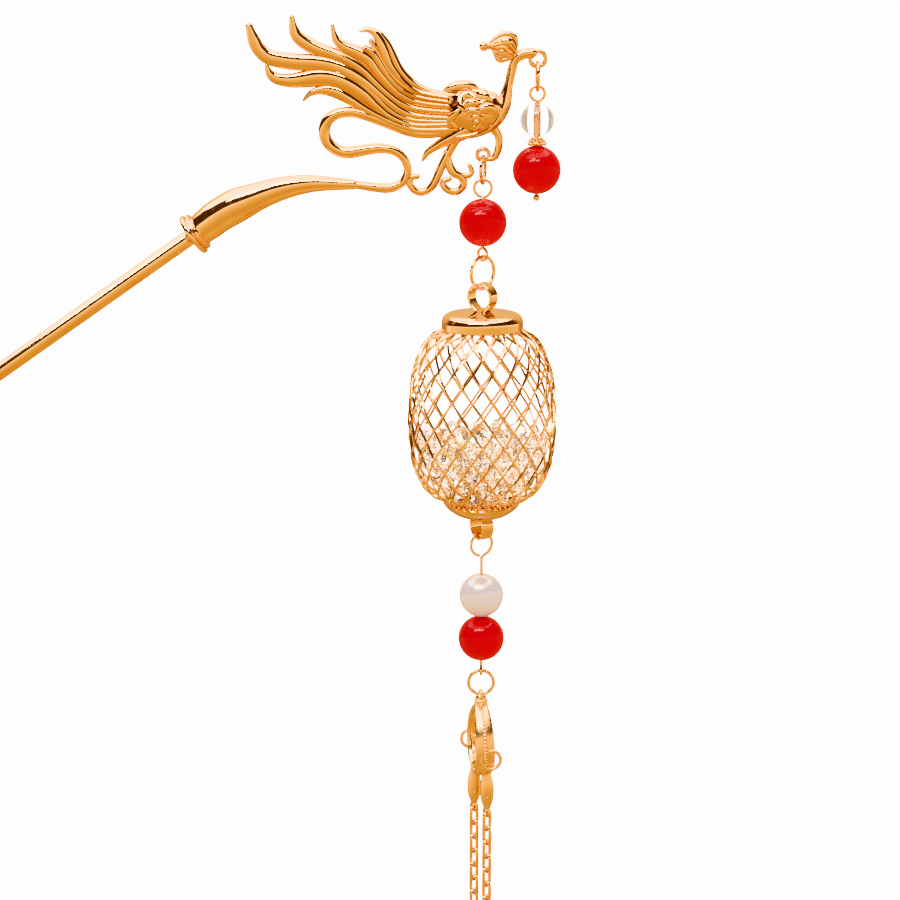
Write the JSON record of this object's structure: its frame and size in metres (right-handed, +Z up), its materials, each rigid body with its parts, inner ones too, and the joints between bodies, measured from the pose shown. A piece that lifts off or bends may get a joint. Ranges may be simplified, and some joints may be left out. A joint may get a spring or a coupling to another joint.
{
  "type": "buyao hairpin",
  "caption": "Hairpin with a straight pin, a cast phoenix, a bead drop at its beak and a long free-hanging drop with a wire net lantern of crystals, beads, a charm and chains.",
  "frame": {"origin": "on the pin's axis, at the face of the collar that stops against the hair", "axes": "+X along the phoenix towards its beak, -Y the show side, +Z up; the pin runs down towards -X, and the drops hang along -Z"},
  "size_m": [0.1505, 0.0248, 0.1554],
  "materials": {
    "gold_metal": "polished warm gold plating",
    "red_bead": "glossy red glass bead",
    "pearl": "pearl lustre",
    "clear_glass": "clear polished glass",
    "crystal": "clear cut crystal"
  },
  "bodies": {
    "root": {"pin": "gold_metal", "stem_socket": "gold_metal", "phoenix": "gold_metal", "beak_ring": "gold_metal", "beak_headpin": "gold_metal", "glass_bead": "clear_glass", "bead_cap": "gold_metal", "beak_red_bead": "red_bead"},
    "drop_ring": {"hook_ring": "gold_metal"},
    "drop": {"upper_eyepin": "gold_metal", "upper_red_bead": "red_bead", "lantern_ring": "gold_metal", "lantern_cap": "gold_metal", "lantern_net": "gold_metal", "crystals": "crystal", "lantern_dish": "gold_metal", "lower_eyepin": "gold_metal", "pearl": "pearl", "lower_red_bead": "red_bead", "tassel_ring": "gold_metal", "tassel_charm": "gold_metal", "chain_left": "gold_metal", "chain_right": "gold_metal"}
  },
  "joints": [
    {"name": "drop_swing", "type": "hinge", "parent": "root", "child": "drop_ring", "pos_m": [0.04753, 0, 0.01225], "axis": [1, 0, 0], "range_deg": [-60, 60]},
    {"name": "drop_sway", "type": "hinge", "parent": "drop_ring", "child": "drop", "pos_m": [0.04753, 0, 0.00861], "axis": [0, 1, 0], "range_deg": [-45, 25]}
  ]
}
